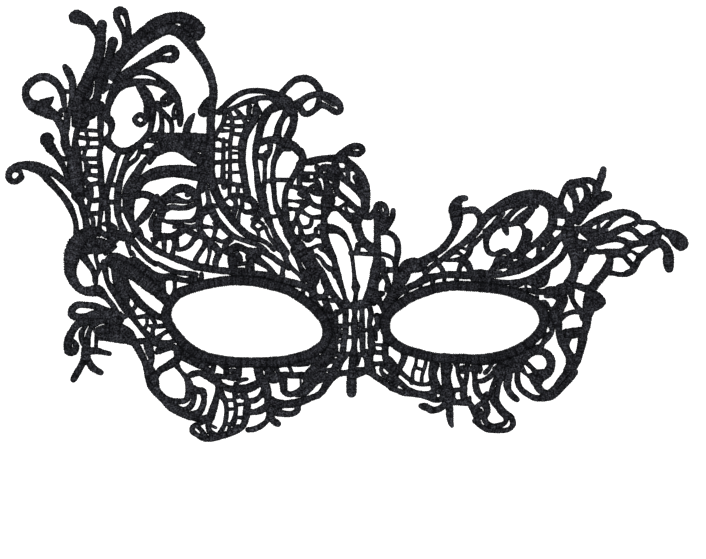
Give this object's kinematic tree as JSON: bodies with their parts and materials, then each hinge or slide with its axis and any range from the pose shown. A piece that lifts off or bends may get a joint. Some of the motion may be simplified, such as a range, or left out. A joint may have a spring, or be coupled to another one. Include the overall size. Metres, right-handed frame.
{
  "type": "lace masquerade mask",
  "caption": "Flat half mask of black guipure lace with padded eye rims, curled plumes over one brow, a side wing and scalloped cheeks.",
  "frame": {"origin": "middle of the mask's outline, on the underside that it rests on", "axes": "+X across the face towards the side wing, +Y from the cheeks up to the plumes, +Z out of the face side"},
  "size_m": [0.24, 0.153, 0.003],
  "materials": {
    "guipure_lace": "black polyester satin stitch, soft sheen across the stitches",
    "satin_rim": "denser black satin stitch, slightly glossier"
  },
  "bodies": {
    "root": {"lace_body": "guipure_lace", "eye_rim_left": "satin_rim", "eye_rim_right": "satin_rim"}
  },
  "joints": []
}
